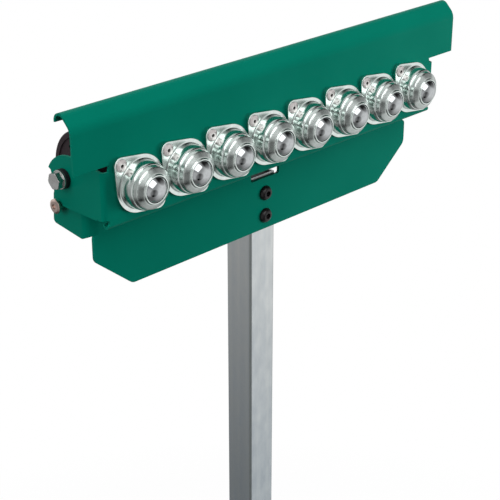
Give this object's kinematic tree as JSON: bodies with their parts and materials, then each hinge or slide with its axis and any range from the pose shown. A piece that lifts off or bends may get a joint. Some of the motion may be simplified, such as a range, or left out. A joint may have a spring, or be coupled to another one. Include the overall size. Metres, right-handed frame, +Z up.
{
  "type": "roller stand",
  "caption": "Free-standing work support: a flip-over head with a smooth top bead, a row of ball transfer units and a roller, on a height-adjustable square mast with a spreading base.",
  "frame": {"origin": "on the floor, under the axis of the mast and column", "axes": "+Z up along the mast, X along the head and its roller, the ball units face -Y"},
  "size_m": [0.536, 0.536, 1.0497],
  "materials": {
    "green_coat": "smooth semi-gloss powder coat",
    "zinc_plate": "bright zinc plating",
    "bearing_steel": "polished",
    "mast_zinc": "zinc plating, slightly clouded",
    "roller_steel": "fine turned finish",
    "black_oxide": "black oxide, satin",
    "black_nylon": "moulded, satin",
    "dark_nylon": "moulded, satin, brown-black",
    "foot_rubber": "matt"
  },
  "bodies": {
    "base": {"column_tube": "green_coat", "column_bush": "black_nylon", "knob_nut": "zinc_plate", "leg_front": "green_coat", "leg_back": "green_coat", "leg_left": "green_coat", "leg_right": "green_coat", "leg_bolts": "zinc_plate", "leg_nuts": "zinc_plate", "rubber_feet": "foot_rubber", "foot_screws": "zinc_plate", "foot_nuts": "zinc_plate"},
    "clamp_knob": {"lock_knob": "black_nylon", "lock_stem": "zinc_plate"},
    "mast": {"mast_tube": "mast_zinc", "mast_slider": "black_nylon", "mast_plug": "black_nylon", "head_bracket": "green_coat", "bracket_screws": "black_oxide", "bracket_nuts": "zinc_plate", "stop_screws": "zinc_plate", "stop_nuts": "zinc_plate", "roller_axle": "roller_steel", "pivot_bolts": "zinc_plate", "pivot_washers": "zinc_plate", "spacer_washers": "black_nylon", "axle_spacers": "zinc_plate"},
    "head": {"head_plate": "green_coat", "pivot_bushes": "black_nylon", "ball_cup_1": "zinc_plate", "ball_cup_2": "zinc_plate", "ball_cup_3": "zinc_plate", "ball_cup_4": "zinc_plate", "ball_cup_5": "zinc_plate", "ball_cup_6": "zinc_plate", "ball_cup_7": "zinc_plate", "ball_cup_8": "zinc_plate", "ball_cap_1": "zinc_plate", "ball_cap_2": "zinc_plate", "ball_cap_3": "zinc_plate", "ball_cap_4": "zinc_plate", "ball_cap_5": "zinc_plate", "ball_cap_6": "zinc_plate", "ball_cap_7": "zinc_plate", "ball_cap_8": "zinc_plate", "flange_rivets": "zinc_plate", "bearing_balls": "bearing_steel"},
    "roller": {"roller_tube": "roller_steel", "roller_cap_left": "dark_nylon", "roller_cap_right": "dark_nylon", "roller_bearings": "bearing_steel"},
    "ball_1": {"ball_1": "bearing_steel"},
    "ball_2": {"ball_2": "bearing_steel"},
    "ball_3": {"ball_3": "bearing_steel"},
    "ball_4": {"ball_4": "bearing_steel"},
    "ball_5": {"ball_5": "bearing_steel"},
    "ball_6": {"ball_6": "bearing_steel"},
    "ball_7": {"ball_7": "bearing_steel"},
    "ball_8": {"ball_8": "bearing_steel"}
  },
  "joints": [
    {"name": "knob_turn", "type": "hinge", "parent": "base", "child": "clamp_knob", "pos_m": [0, 0, 0.502], "axis": [1, 0, 0], "range_deg": [0, 360]},
    {"name": "mast_slide", "type": "slide", "parent": "base", "child": "mast", "axis": [0, 0, 1], "range_m": [-0.29, 0.06]},
    {"name": "head_flip", "type": "hinge", "parent": "mast", "child": "head", "pos_m": [0, 0.0043, 0.98], "axis": [-1, 0, 0], "range_deg": [0, 180]},
    {"name": "roller_spin", "type": "hinge", "parent": "mast", "child": "roller", "pos_m": [0, 0.0043, 0.98], "axis": [1, 0, 0], "continuous": true},
    {"name": "ball_1_roll", "type": "hinge", "parent": "head", "child": "ball_1", "pos_m": [-0.1708, -0.0595, 0.98], "axis": [1, 0, 0], "continuous": true},
    {"name": "ball_2_roll", "type": "hinge", "parent": "head", "child": "ball_2", "pos_m": [-0.122, -0.0595, 0.98], "axis": [1, 0, 0], "continuous": true},
    {"name": "ball_3_roll", "type": "hinge", "parent": "head", "child": "ball_3", "pos_m": [-0.0732, -0.0595, 0.98], "axis": [1, 0, 0], "continuous": true},
    {"name": "ball_4_roll", "type": "hinge", "parent": "head", "child": "ball_4", "pos_m": [-0.0244, -0.0595, 0.98], "axis": [1, 0, 0], "continuous": true},
    {"name": "ball_5_roll", "type": "hinge", "parent": "head", "child": "ball_5", "pos_m": [0.0244, -0.0595, 0.98], "axis": [1, 0, 0], "continuous": true},
    {"name": "ball_6_roll", "type": "hinge", "parent": "head", "child": "ball_6", "pos_m": [0.0732, -0.0595, 0.98], "axis": [1, 0, 0], "continuous": true},
    {"name": "ball_7_roll", "type": "hinge", "parent": "head", "child": "ball_7", "pos_m": [0.122, -0.0595, 0.98], "axis": [1, 0, 0], "continuous": true},
    {"name": "ball_8_roll", "type": "hinge", "parent": "head", "child": "ball_8", "pos_m": [0.1708, -0.0595, 0.98], "axis": [1, 0, 0], "continuous": true}
  ]
}
